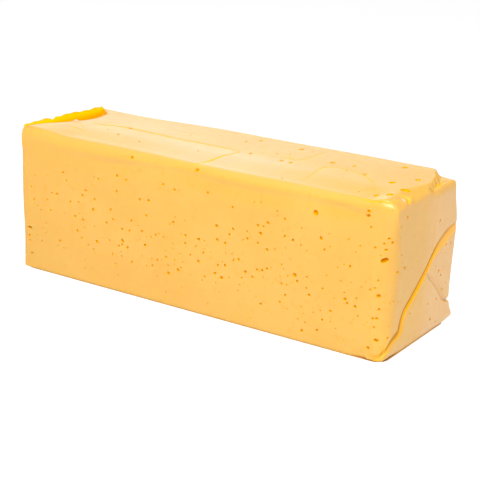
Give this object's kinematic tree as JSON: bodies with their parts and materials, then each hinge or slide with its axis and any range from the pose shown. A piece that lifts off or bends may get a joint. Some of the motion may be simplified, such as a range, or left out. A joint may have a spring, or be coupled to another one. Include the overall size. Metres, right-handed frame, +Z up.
{
  "type": "american cheese loaf",
  "caption": "Long rectangular loaf of processed american cheese, unwrapped, with soft edges, film folds on one end, a thin lip along the other and small gas pits.",
  "frame": {"origin": "centre of the underside's bounding box", "axes": "+X along the loaf towards the end with the film folds, +Y towards its back, +Z up"},
  "size_m": [0.2704, 0.0952, 0.0962],
  "materials": {
    "cheese": "smooth satin yellow processed cheese, slightly translucent, deeper yellow in pits and folds"
  },
  "bodies": {
    "root": {"cheese_loaf": "cheese"}
  },
  "joints": []
}
